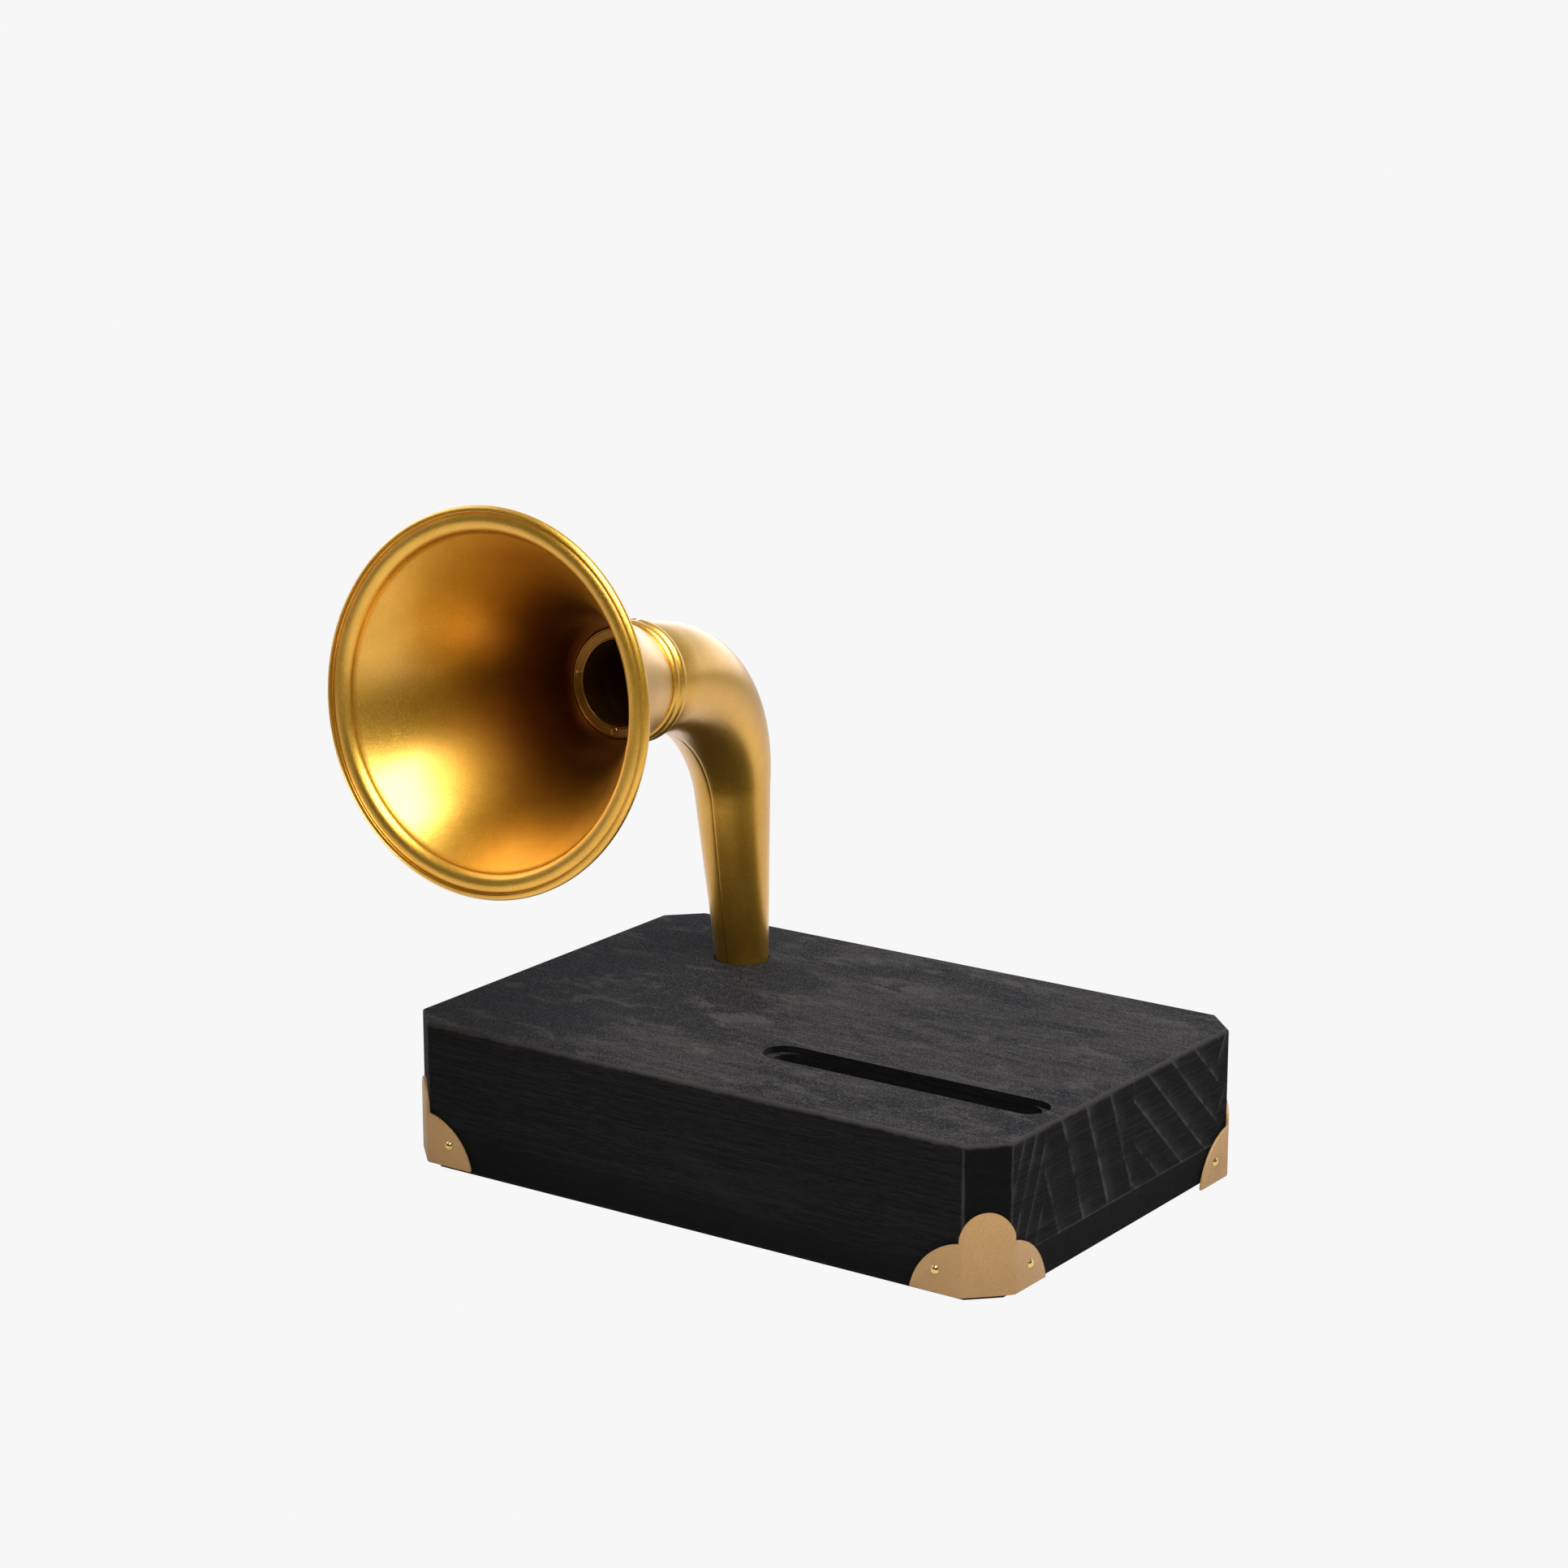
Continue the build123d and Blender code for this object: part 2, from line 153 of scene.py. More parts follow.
class AmpRingSizes(bpy.types.PropertyGroup):
    """Sizes of the collar ring and the throat ring."""
    inner: size("Collar bore", "Radius inside the collar", 15.12 * MM)
    groove: size("Groove radius", "Radius between the collar's beads", 15.9 * MM)
    bead: size("Bead height", "How far the beads stand out of the groove", 1.0 * MM)
    gap: size("Split", "Gap in the collar, at the top", 0.7 * MM)
    tab: size("Tab", "Flat tab beside the split", 1.3 * MM)
    flange: size("Flange radius", "Outer radius of the throat ring", 14.9 * MM)
    hole: size("Throat hole", "Radius of the throat ring's hole", 11.8 * MM)
    lip: size("Lip", "Height of the throat ring's two lips", 0.3 * MM)
    mark: size("Mould mark", "Radius of the round moulding marks", 1.15 * MM)


class AmpGuardSizes(bpy.types.PropertyGroup):
    """Sizes of the bent corner guards and their nails."""
    face: size("Middle", "Width between the two bends", 13.5 * MM)
    wing: size("Wing", "Length of each wing", 14.5 * MM)
    wing_height: size("Wing height", "Height of each wing at the bend", 14.2 * MM)
    tip: size("Wing tip", "Height of each wing at its end", 0.6 * MM)
    wing_bow: size("Wing bow", "How far the upper edge bows from a straight line", 3.0 * MM)
    top: size("Lobe height", "Top of the round lobe", 22.0 * MM)
    lobe: size("Lobe radius", "Radius of the round lobe", 7.05 * MM)
    sheet: size("Sheet", "Thickness of the sheet", 0.7 * MM)
    bend: size("Bend radius", "Inside radius of the bends", 1.5 * MM)
    cut: size("Corner cut", "Leg of the block's cut corner", CORNER_CUT * MM)
    stand_off: size("Stand-off", "Gap between the guard and the cut corner", 0.05 * MM)
    head: size("Nail head radius", "Radius of the domed head", 1.25 * MM)
    dome: size("Nail head height", "Height of the domed head", 0.75 * MM)
    shank: size("Nail shank radius", "Radius of the shank", 0.5 * MM)


class AmpFinishes(bpy.types.PropertyGroup):
    """Colours of the finishes."""
    gold: colour("Gold paint", "Metallic paint of the horn", (0.605, 0.330, 0.030))
    gold_worn: colour("Gold paint, thin", "Paint where it lies thinner", (0.51, 0.268, 0.018))
    stain: colour("Stain", "Black stain on the sides", (0.0040, 0.0040, 0.0042))
    stain_top: colour("Dusty stain", "Greyer stain on the top", (0.0138, 0.0122, 0.0108))
    ring: colour("Latewood", "Stain on the hard growth rings", (0.052, 0.051, 0.050))
    sheet: colour("Guard sheet", "Matt pale gold sheet", (0.36, 0.21, 0.078))
    nail: colour("Nail", "Polished brass", (0.70, 0.50, 0.17))
    felt: colour("Felt", "Felt under the block", (0.02, 0.02, 0.021))


class AmpStage(bpy.types.PropertyGroup):
    """Camera, floor and lamps."""
    azimuth: angle("Azimuth", "Camera's direction round the object", 34.90)
    elevation: angle("Elevation", "Camera's height above the horizon", 14.56)
    lens: FloatProperty(name="Lens", description="Focal length in millimetres", default=90.34)
    floor: colour("Floor", "Pale floor", (PALE, PALE, PALE))


GROUPS = {
    "amp_elbow": AmpElbowSizes,
    "amp_bell": AmpBellSizes,
    "amp_rings": AmpRingSizes,
    "amp_guards": AmpGuardSizes,
    "amp_finishes": AmpFinishes,
    "amp_stage": AmpStage,
}


# ---- mesh helpers --------------------------------------------------------------------

class Pen:
    """Draws a profile in the XZ plane, with X out from the turning axis and Z along it."""

    def __init__(self, mesh, x, z):
        self.mesh = mesh
        self.tip = bmesh.ops.create_vert(mesh, co=(x, 0, z))["vert"][0]

    def line_to(self, x, z):
        made = bmesh.ops.extrude_vert_indiv(self.mesh, verts=[self.tip])
        self.tip = made["verts"][0]
        self.tip.co = (x, 0, z)

    def arc(self, centre_x, centre_z, degrees, steps):
        """Turns the tip about a centre; positive turns from Z towards X."""
        made = bmesh.ops.spin(
            self.mesh, geom=[self.tip], cent=(centre_x, 0, centre_z), axis=(0, 1, 0),
            angle=math.radians(degrees), steps=steps, use_merge=False)
        self.tip = [item for item in made["geom_last"] if isinstance(item, bmesh.types.BMVert)][0]

    def bow_to(self, x, z, control_x, control_z, steps):
        """A smooth bow to a point, pulled towards a control point."""
        start_x, _, start_z = self.tip.co
        for step in range(1, steps + 1):
            t = step / steps
            near, middle, far = (1 - t) ** 2, 2 * t * (1 - t), t ** 2
            self.line_to(near * start_x + middle * control_x + far * x,
                         near * start_z + middle * control_z + far * z)

    def bulge(self, along, height, steps):
        """An outward bulge, along Z by a length."""
        x, _, z = self.tip.co
        radius = (along * along / 4 + height * height) / (2 * height)
        half = math.asin(abs(along) / 2 / radius)
        turn = -math.degrees(2 * half) if along > 0 else math.degrees(2 * half)
        self.arc(x + height - radius, z + along / 2, turn, steps)

    def close(self):
        bmesh.ops.remove_doubles(self.mesh, verts=self.mesh.verts, dist=1e-7)


def tidy(mesh):
    """Merges doubles and points all faces outwards."""
    bmesh.ops.remove_doubles(mesh, verts=mesh.verts, dist=1e-7)
    bmesh.ops.recalc_face_normals(mesh, faces=mesh.faces)


def spin_full(mesh, steps):
    """Turns a closed profile all the way round Z."""
    bmesh.ops.spin(mesh, geom=mesh.verts[:] + mesh.edges[:], cent=(0, 0, 0), axis=(0, 0, 1),
                   angle=math.tau, steps=steps, use_merge=True)
    tidy(mesh)


def place(mesh, matrix):
    bmesh.ops.transform(mesh, matrix=matrix, verts=mesh.verts)


def round_edges(mesh, edges, width, segments=2):
    bmesh.ops.bevel(mesh, geom=edges, offset=width, segments=segments, profile=0.5,
                    affect="EDGES", material=-1, clamp_overlap=True)


def sharp_edges(mesh, degrees):
    limit = math.radians(degrees)
    return [edge for edge in mesh.edges
            if len(edge.link_faces) == 2 and edge.calc_face_angle(0) > limit]


def make_piece(mesh, name, body, slot, material, *nodes):
    """Turns a bmesh into the finished object, riding on its body."""
    data = bpy.data.meshes.new(name)
    mesh.to_mesh(data)
    mesh.free()
    for face in data.polygons:
        face.use_smooth = True
    data.set_sharp_from_angle(angle=math.radians(38))
    data.materials.append(material)
    piece = bpy.data.objects.new(name, data)
    bpy.context.scene.collection.objects.link(piece)
    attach(piece, body)
    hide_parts(*nodes)
    return piece


# ---- where the horn stands ----------------------------------------------------------

def bell_frame():
    """Z along the bell's axis from the shoulder, X upwards."""
    side = bell_axis.cross(Vector((0, 0, 1))).normalized()
    up = side.cross(bell_axis).normalized()
    turn = Matrix((up, bell_axis.cross(up), bell_axis)).transposed().to_4x4()
    return Matrix.Translation(shoulder) @ turn


def elbow_frame():
    """Z up from the stem's foot, X level towards the bell."""
    ahead = Vector((bell_axis.x, bell_axis.y, 0)).normalized()
    turn = Matrix((ahead, Vector((0, 0, 1)).cross(ahead), Vector((0, 0, 1)))).transposed()
    return Matrix.Translation(stem_foot) @ turn.to_4x4()


def elbow_line(sizes):
    """Stations along the elbow's centre line: (x, z, slope from vertical, outer radius)."""
    level = shoulder - stem_foot
    end_x = Vector((level.x, level.y)).length
    end_z = level.z
    rise = math.asin(bell_axis.z)
    lean = sizes.lean
    # where the stem's line and the bell's line meet
    reach = end_x * math.sin(rise) - end_z * math.cos(rise)
    apex = reach / (math.sin(lean) * math.sin(rise) - math.cos(lean) * math.cos(rise))
    turn = math.pi / 2 - lean - rise
    tangent = sizes.bend * math.tan(turn / 2)
    straight = apex - tangent
    centre_x = straight * math.sin(lean) + sizes.bend * math.cos(lean)
    centre_z = straight * math.cos(lean) - sizes.bend * math.sin(lean)
    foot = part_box("elbow_left_shell")[0].z - stem_foot.z
    stations = [(0, foot, 0, sizes.stem), (0, 0, 0, sizes.stem)]
    stem_steps, bend_steps = 14, 30
    for step in range(1, stem_steps + 1):
        t = step / stem_steps
        stations.append((t * straight * math.sin(lean), t * straight * math.cos(lean), lean,
                         sizes.stem + t * (sizes.bend_start - sizes.stem)))
    for step in range(1, bend_steps + 1):
        t = step / bend_steps
        slope = lean + t * turn
        stations.append((centre_x - sizes.bend * math.cos(slope),
                         centre_z + sizes.bend * math.sin(slope), slope,
                         sizes.bend_start + math.sin(t * math.pi / 2)
                         * (sizes.bend_end - sizes.bend_start)))
    stations.append((end_x, end_z, math.pi / 2 - rise, sizes.shoulder))
    return stations


def station_matrix(station):
    x, z, slope, radius = station
    return (Matrix.Translation((x, 0, z)) @ Matrix.Rotation(slope, 4, "Y")
            @ Matrix.Scale(radius, 4))


def half_tube(mesh, stations, side, wall, steps=40):
    """Half of a tube along stations, on one side of the middle plane, with a wall inwards."""
    start = bmesh.ops.create_vert(mesh, co=(1, 0, 0))["vert"]
    bmesh.ops.spin(mesh, geom=start, cent=(0, 0, 0), axis=(0, 0, 1), angle=side * math.pi,
                   steps=steps, use_merge=False)
    ring_verts = mesh.verts[:]
    ring_edges = mesh.edges[:]
    matrix = station_matrix(stations[0])
    bmesh.ops.transform(mesh, matrix=matrix, verts=ring_verts)
    for station in stations[1:]:
        made = bmesh.ops.extrude_edge_only(mesh, edges=ring_edges)
        ring_verts = [item for item in made["geom"] if isinstance(item, bmesh.types.BMVert)]
        ring_edges = [item for item in made["geom"] if isinstance(item, bmesh.types.BMEdge)
                      and item.verts[0] in ring_verts and item.verts[1] in ring_verts]
        following = station_matrix(station)
        bmesh.ops.transform(mesh, matrix=following @ matrix.inverted(), verts=ring_verts)
        matrix = following
    bmesh.ops.recalc_face_normals(mesh, faces=mesh.faces)
    bmesh.ops.solidify(mesh, geom=mesh.faces[:], thickness=wall)


def build_elbow_shell(sizes, side, name, material, proud):
    """One moulded half of the elbow, with its half of the bell's seat."""
    mesh = bmesh.new()
    stations = [(x, z, slope, radius + proud) for x, z, slope, radius in elbow_line(sizes)]
    half_tube(mesh, stations, side, sizes.wall)
    tidy(mesh)
    round_edges(mesh, sharp_edges(mesh, 60), sizes.seam)
    seat = bmesh.new()
    end_x, end_z, slope, _ = stations[-1]
    inside = -2.5 * MM
    front = 7.2 * MM
    seat_stations = [(end_x + z * math.sin(slope), end_z + z * math.cos(slope), slope, sizes.seat)
                     for z in (inside, 0, front)]
    half_tube(seat, seat_stations, side, sizes.seat_wall)
    tidy(seat)
    part = bpy.data.meshes.new(name + "_seat")
    seat.to_mesh(part)
    seat.free()
    mesh.from_mesh(part)
    bpy.data.meshes.remove(part)
    place(mesh, elbow_frame() @ Matrix.Translation((0, side * sizes.gap / 2, 0)))
    return make_piece(mesh, name, "horn", "gold_paint", material, name.replace("_skin", ""))


# ---- pieces of the horn --------------------------------------------------------------

def build_bell(sizes, material):
    """Neck, bowed flare and rolled rim, one moulding turned about the bell's axis."""
    mesh = bmesh.new()
    back = 0.3 * MM
    step = 6.4 * MM
    collar_bore = 15.1 * MM
    edge = sizes.mouth - sizes.rim_width
    flare_end = sizes.length - 3.2 * MM
    throat_front, throat_back = 8.8 * MM, 7.1 * MM
    bead_x = sizes.mouth - sizes.outer_bead
    bead_z = sizes.length - sizes.outer_bead
    small_x = edge + sizes.inner_bead
    small_top = sizes.length - 0.2 * MM
    spread = edge - sizes.throat
    climb = flare_end - throat_front
    slant = math.hypot(spread, climb)
    bow_x = (sizes.throat + edge) / 2 - sizes.bow
    bow_z = (throat_front + flare_end) / 2
    pen = Pen(mesh, sizes.bore, back)
    pen.line_to(collar_bore, back)
    pen.line_to(collar_bore, step)
    pen.line_to(sizes.neck - 0.2 * MM, step)
    pen.arc(sizes.neck - 0.2 * MM, step + 0.2 * MM, -90, 4)
    pen.bow_to(edge + 2.8 * MM, bead_z - sizes.outer_bead,
               bow_x + sizes.wall * climb / slant, bow_z - sizes.wall * spread / slant, 40)
    pen.line_to(bead_x, bead_z - sizes.outer_bead)
    parting = 158
    pen.arc(bead_x, bead_z, -parting, 28)
    # parting line of the mould, a low ridge on the outer bead
    ridge = sizes.outer_bead + 0.14 * MM
    for degrees, radius in ((2, ridge), (6, ridge), (8, sizes.outer_bead)):
        around = math.radians(degrees + parting - 90)
        pen.line_to(bead_x + radius * math.cos(around), bead_z + radius * math.sin(around))
    pen.arc(bead_x, bead_z, -(180 - parting - 8), 4)
    rise = math.radians(38)
    small_z = small_top - sizes.inner_bead
    bead_start_x = small_x + sizes.inner_bead * math.sin(rise)
    bead_start_z = small_z + sizes.inner_bead * math.cos(rise)
    valley_z = sizes.length - sizes.valley
    pen.bow_to(bead_start_x, bead_start_z,
               bead_start_x + (bead_start_z - valley_z) / math.tan(rise), valley_z, 14)
    pen.arc(small_x, small_z, -(38 + 84), 18)
    pen.bow_to(sizes.throat, throat_front, bow_x, bow_z, 48)
    pen.line_to(sizes.throat, throat_back)
    pen.line_to(sizes.bore, throat_back)
    pen.line_to(sizes.bore, back)
    pen.close()
    spin_full(mesh, 144)
    place(mesh, bell_frame())
    return make_piece(mesh, "bell_skin", "bell", "gold_paint", material, "bell")


def build_throat_ring(sizes, material):
    """Flanged ring in the throat, with two raised lips and round moulding marks."""
    mesh = bmesh.new()
    face = 8.65 * MM
    seat_end = 7.2 * MM
    sleeve_end = 2.2 * MM
    sleeve = 12.78 * MM
    lip_width = 0.4 * MM
    pen = Pen(mesh, sizes.hole, sleeve_end)
    pen.line_to(sleeve, sleeve_end)
    pen.line_to(sleeve, seat_end)
    pen.line_to(sizes.flange, seat_end)
    pen.line_to(sizes.flange, face + sizes.lip * 0.4)
    pen.arc(sizes.flange - lip_width / 2, face + sizes.lip * 0.4, -180, 8)
    pen.line_to(sizes.flange - lip_width * 1.3, face)
    pen.line_to(sizes.hole + lip_width * 1.4, face)
    pen.line_to(sizes.hole + lip_width, face + sizes.lip * 0.8)
    pen.arc(sizes.hole + lip_width / 2, face + sizes.lip * 0.8, -180, 8)
    pen.line_to(sizes.hole, sleeve_end)
    pen.close()
    spin_full(mesh, 96)
    middle = (sizes.flange + sizes.hole) / 2
    for degrees in (274.5, 4.5):
        add_mould_mark(mesh, sizes, middle, math.radians(degrees), face)
    place(mesh, bell_frame())
    return make_piece(mesh, "throat_ring_skin", "horn", "gold_paint", material, "throat_ring")


def add_mould_mark(mesh, sizes, radius, around, face):
    """A shallow round mark left by an ejector pin, on the ring's face."""
    height = 0.11 * MM
    where = Matrix.Translation((radius * math.sin(around), radius * math.cos(around), face))
    made = bmesh.ops.create_circle(mesh, cap_ends=True, segments=28, radius=sizes.mark,
                                   matrix=where)
    faces = list({face for vert in made["verts"] for face in vert.link_faces})
    bmesh.ops.inset_individual(mesh, faces=faces, thickness=0.16 * MM, depth=height)
    bmesh.ops.inset_individual(mesh, faces=faces, thickness=0.1 * MM, depth=-height * 0.6)


def build_collar_ring(sizes, material):
    """Two-beaded clip ring round the neck, split at the top, with a flat tab by the split."""
    mesh = bmesh.new()
    back = 0.3 * MM
    back_bead, front_bead = 3.2 * MM, 2.8 * MM
    front = back + back_bead + front_bead
    pen = Pen(mesh, sizes.inner, back)
    pen.line_to(sizes.groove, back)
    pen.bulge(back_bead, sizes.bead, 12)
    pen.bulge(front_bead, sizes.bead * 0.85, 12)
    pen.line_to(sizes.inner, front)
    pen.line_to(sizes.inner, back)
    pen.close()
    bmesh.ops.contextual_create(mesh, geom=mesh.edges[:])
    split = sizes.gap / sizes.groove
    tab = sizes.tab / sizes.groove
    bmesh.ops.rotate(mesh, cent=(0, 0, 0), matrix=Matrix.Rotation(split, 3, "Z"), verts=mesh.verts)
    bmesh.ops.spin(mesh, geom=mesh.verts[:] + mesh.edges[:] + mesh.faces[:], cent=(0, 0, 0),
                   axis=(0, 0, 1), angle=math.tau - split - tab, steps=120, use_merge=False)
    tidy(mesh)
    block = bmesh.ops.create_cube(mesh, size=1)["verts"]
    height = sizes.bead * 0.75 + sizes.groove - sizes.inner
    length = (front - back) * 0.82
    shape = (Matrix.Rotation(-tab / 2, 4, "Z")
             @ Matrix.Translation((sizes.inner + height / 2, 0, (front + back) / 2))
             @ Matrix.Diagonal((height, sizes.tab * 0.96, length, 1)))
    bmesh.ops.transform(mesh, matrix=shape, verts=block)
    edges = list({edge for vert in block for edge in vert.link_edges})
    round_edges(mesh, edges, 0.12 * MM)
    place(mesh, bell_frame())
    return make_piece(mesh, "collar_ring_skin", "bell", "gold_paint", material, "collar_ring")


# ---- corner guards and nails ----------------------------------------------------------

def flat_guard(mesh, sizes):
    """The flat trefoil blank: X along the block, Z up, lower edge on Z = 0."""
    half = sizes.face / 2
    steps = 18
    end = Vector((half + sizes.wing, sizes.tip))
    shoulder = Vector((half, sizes.wing_height))
    chord = shoulder - end
    bow = sizes.wing_bow
    radius = (chord.length_squared / 4 + bow * bow) / (2 * bow)
    outward = Vector((chord.y, -chord.x)).normalized()
    middle = (end + shoulder) / 2 + (bow - radius) * outward
    first = math.atan2(end.y - middle.y, end.x - middle.x)
    last = math.acos((sizes.lobe - middle.x) / radius)
    pen = Pen(mesh, 0, 0)
    pen.line_to(end.x, 0)
    for step in range(steps + 1):
        around = first + (last - first) * step / steps
        pen.line_to(middle.x + radius * math.cos(around), middle.y + radius * math.sin(around))
    base = sizes.top - sizes.lobe
    pen.line_to(sizes.lobe, base)
    pen.arc(0, base, -90, 16)
    bmesh.ops.mirror(mesh, geom=mesh.verts[:] + mesh.edges[:], matrix=Matrix.Identity(4),
                     merge_dist=1e-7, axis="X")
    bmesh.ops.remove_doubles(mesh, verts=mesh.verts, dist=1e-7)
    bmesh.ops.contextual_create(mesh, geom=mesh.edges[:])


def build_guard(sizes, quarter, node, material):
    """A guard cut, bent at two lines and laid round one corner of the block."""
    mesh = bmesh.new()
    flat_guard(mesh, sizes)
    half = sizes.face / 2
    bends = 6
    spread = math.radians(45) * (sizes.bend + sizes.sheet / 2)
    lines = [half - spread / 2 + spread * number / (bends - 1) for number in range(bends)]
    for line in lines:
        for side in (-1, 1):
            bmesh.ops.bisect_plane(mesh, geom=mesh.verts[:] + mesh.edges[:] + mesh.faces[:],
                                   plane_co=(side * line, 0, 0), plane_no=(1, 0, 0), dist=1e-7)
    flat_x = {vert: vert.co.x for vert in mesh.verts}
    for line in reversed(lines):
        for side in (-1, 1):
            beyond = [vert for vert, x in flat_x.items() if side * x > line + 1e-6]
            bmesh.ops.rotate(mesh, cent=(side * line, 0, 0), verts=beyond,
                             matrix=Matrix.Rotation(side * math.radians(45 / bends), 3, "Z"))
    outward = Vector((0, -1, 0))
    bmesh.ops.recalc_face_normals(mesh, faces=mesh.faces)
    for face in mesh.faces:
        if face.normal.dot(outward) < 0:
            face.normal_flip()
    bmesh.ops.solidify(mesh, geom=mesh.faces[:], thickness=-sizes.sheet)
    tidy(mesh)
    round_edges(mesh, sharp_edges(mesh, 60), 0.14 * MM)
    guard_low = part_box(node)[0].z
    corner_x = block_high.x if quarter in (0, 1) else block_low.x
    corner_y = block_high.y if quarter in (1, 2) else block_low.y
    inwards = (sizes.cut / 2) * math.sqrt(2) - sizes.stand_off
    matrix = (Matrix.Translation((corner_x, corner_y, guard_low))
              @ Matrix.Rotation(math.radians(90 * quarter + 45), 4, "Z")
              @ Matrix.Translation((0, inwards, 0)))
    place(mesh, matrix)
    return make_piece(mesh, node + "_sheet", "base", "kraft_sheet", material, node)


def build_nail(sizes, node, seed, material):
    """A domed nail, slightly dented by the hammer."""
    low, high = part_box(node)
    centre = (low + high) / 2
    long_axis = 0 if (high - low).x > (high - low).y else 1
    out = Vector((0, 0, 0))
    out[long_axis] = 1 if centre[long_axis] > 0 else -1
    length = (high - low)[long_axis]
    mesh = bmesh.new()
    dome = (sizes.head ** 2 + sizes.dome ** 2) / (2 * sizes.dome)
    reach = math.degrees(math.asin(sizes.head / dome))
    pen = Pen(mesh, 0, 0)
    pen.arc(0, -dome, reach, 8)
    pen.line_to(sizes.head - 0.08 * MM, -sizes.dome - 0.04 * MM)
    pen.line_to(sizes.shank, -sizes.dome)
    pen.line_to(sizes.shank, -length + 1.2 * MM)
    pen.line_to(0, -length)
    spin_full(mesh, 28)
    # hammer marks, different on each head
    dent, dents_in_a_metre = 0.09 * MM, 1400
    for vert in mesh.verts:
        if vert.co.z > -sizes.dome * 0.9:
            spot = vert.co * dents_in_a_metre + seed * Vector((7.3, 3.1, 5.7))
            vert.co.z = min(0, vert.co.z - dent * max(0, noise.noise(spot) + 0.25))
    turn = Vector((0, 0, 1)).rotation_difference(out).to_matrix().to_4x4()
    tip = centre + out * length / 2
    place(mesh, Matrix.Translation(tip) @ turn)
    return make_piece(mesh, node + "_domed", "base", "nail_brass", material, node)


# ---- materials --------------------------------------------------------------------------

class Nodes:
    """A node tree that is put together one node at a time."""

    def __init__(self, tree):
        self.tree = tree
        self.tree.nodes.clear()

    def add(self, kind, **settings):
        node = self.tree.nodes.new(kind)
        for key, value in settings.items():
            setattr(node, key, value)
        return node

    def join(self, source, target):
        """Links an output to a socket, or sets the socket's own value."""
        if hasattr(source, "is_output"):
            self.tree.links.new(source, target)
        else:
            target.default_value = source

    def sum(self, operation, *values):
        """One number worked out from others, by a Math node's operation."""
        node = self.add("ShaderNodeMath", operation=operation)
        for number, value in enumerate(values):
            self.join(value, node.inputs[number])
        return node.outputs[0]

    def vector(self, operation, first, second):
        """One number out of two vectors."""
        node = self.add("ShaderNodeVectorMath", operation=operation)
        self.join(first, node.inputs[0])
        self.join(second, node.inputs[1])
        return node.outputs["Value"]

    def ramp(self, value, stops):
        """Colours at stops along a value from 0 to 1."""
        node = self.add("ShaderNodeValToRGB")
        self.join(value, node.inputs["Fac"])
        elements = node.color_ramp.elements
        elements[0].position, elements[1].position = stops[0][0], stops[-1][0]
        for position, _ in stops[1:-1]:
            elements.new(position)
        for element, (_, colour_here) in zip(elements, stops):
            element.color = colour_here
        return node.outputs["Color"]

    def noise(self, vector, scale=1.0, detail=4.0, roughness=0.5, distortion=0.0):
        node = self.add("ShaderNodeTexNoise")
        self.join(vector, node.inputs["Vector"])
        node.inputs["Scale"].default_value = scale
        node.inputs["Detail"].default_value = detail
        node.inputs["Roughness"].default_value = roughness
        node.inputs["Distortion"].default_value = distortion
        return node.outputs["Fac"]

    def fit(self, value, low, high, to_low=0.0, to_high=1.0, smooth=True):
        """A value moved from one range to another and held inside it."""
        node = self.add("ShaderNodeMapRange",
                        interpolation_type="SMOOTHSTEP" if smooth else "LINEAR")
        self.join(value, node.inputs["Value"])
        node.inputs["From Min"].default_value = low
        node.inputs["From Max"].default_value = high
        node.inputs["To Min"].default_value = to_low
        node.inputs["To Max"].default_value = to_high
        return node.outputs["Result"]

    def blend(self, amount, first, second):
        """Two colours mixed: sockets 6, 7 and 2 are the Mix node's colours A, B and Result."""
        node = self.add("ShaderNodeMix", data_type="RGBA")
        self.join(amount, node.inputs["Factor"])
        for value, socket in ((first, node.inputs[6]), (second, node.inputs[7])):
            self.join(value if hasattr(value, "is_output") else (*value, 1), socket)
        return node.outputs[2]

    def bump(self, height, depth, strength=1.0, after=None):
        node = self.add("ShaderNodeBump")
        node.inputs["Distance"].default_value = depth
        node.inputs["Strength"].default_value = strength
        self.join(height, node.inputs["Height"])
        if after is not None:
            self.join(after, node.inputs["Normal"])
        return node.outputs["Normal"]

    def split(self, vector):
        node = self.add("ShaderNodeSeparateXYZ")
        self.join(vector, node.inputs[0])
        return node.outputs


class Mat(Nodes):
    """A material with one principled shader."""

    def __init__(self, name):
        self.material = bpy.data.materials.new(name)
        self.material.use_nodes = True
        super().__init__(self.material.node_tree)
        self.output = self.add("ShaderNodeOutputMaterial")
        self.shader = self.add("ShaderNodeBsdfPrincipled")
        self.join(self.shader.outputs["BSDF"], self.output.inputs["Surface"])
        self.coords = self.add("ShaderNodeTexCoord")

    def stretched(self, scale, shift=(0, 0, 0), turn=(0, 0, 0)):
        """Object coordinates in millimetres, scaled along each axis."""
        node = self.add("ShaderNodeMapping")
        self.join(self.coords.outputs["Object"], node.inputs["Vector"])
        node.inputs["Scale"].default_value = [value / MM for value in scale]
        node.inputs["Location"].default_value = shift
        node.inputs["Rotation"].default_value = turn
        return node.outputs["Vector"]

    def set(self, **values):
        for key, value in values.items():
            self.join(value, self.shader.inputs[key.replace("_", " ")])


def shade(paint, factor=1):
    """A colour made darker or lighter."""
    return tuple(factor * value for value in paint)


